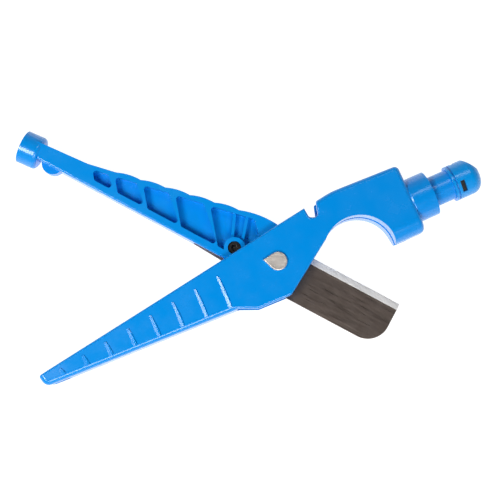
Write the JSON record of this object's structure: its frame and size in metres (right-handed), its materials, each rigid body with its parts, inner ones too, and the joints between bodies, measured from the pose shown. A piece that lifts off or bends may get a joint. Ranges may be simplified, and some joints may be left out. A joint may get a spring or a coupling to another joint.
{
  "type": "plastic pipe cutter",
  "caption": "Lever-type plastic pipe cutter: a bladed lever pivots in a channelled grip with a half-round cradle. The nose ends in a stepped knob and the lever in a round cup.",
  "frame": {"origin": "pivot axis, on the back (resting) face", "axes": "+Z out of the front face along the pivot, +X from the grips to the nose"},
  "size_m": [0.1862, 0.1014, 0.0195],
  "materials": {
    "blue_paint": "gloss powder coat",
    "blue_moulding": "gloss moulded",
    "blade_steel": "satin browned tool steel",
    "bright_steel": "turned, lightly worn",
    "washer_steel": "satin",
    "dark_steel": "black oxide"
  },
  "bodies": {
    "frame": {"frame_casting": "blue_paint", "pivot_pin": "bright_steel", "pivot_screw": "bright_steel", "reamer_head": "blue_moulding", "reamer_blades": "dark_steel", "reamer_set_screw": "dark_steel"},
    "lever": {"lever_casting": "blue_paint", "cutting_blade": "blade_steel", "blade_screw": "dark_steel", "front_washer": "washer_steel", "rear_washer": "washer_steel"}
  },
  "joints": [
    {"name": "lever_pivot", "type": "hinge", "parent": "frame", "child": "lever", "pos_m": [0, 0, 0.0092], "axis": [0, 0, 1], "range_deg": [-12, 50]}
  ]
}
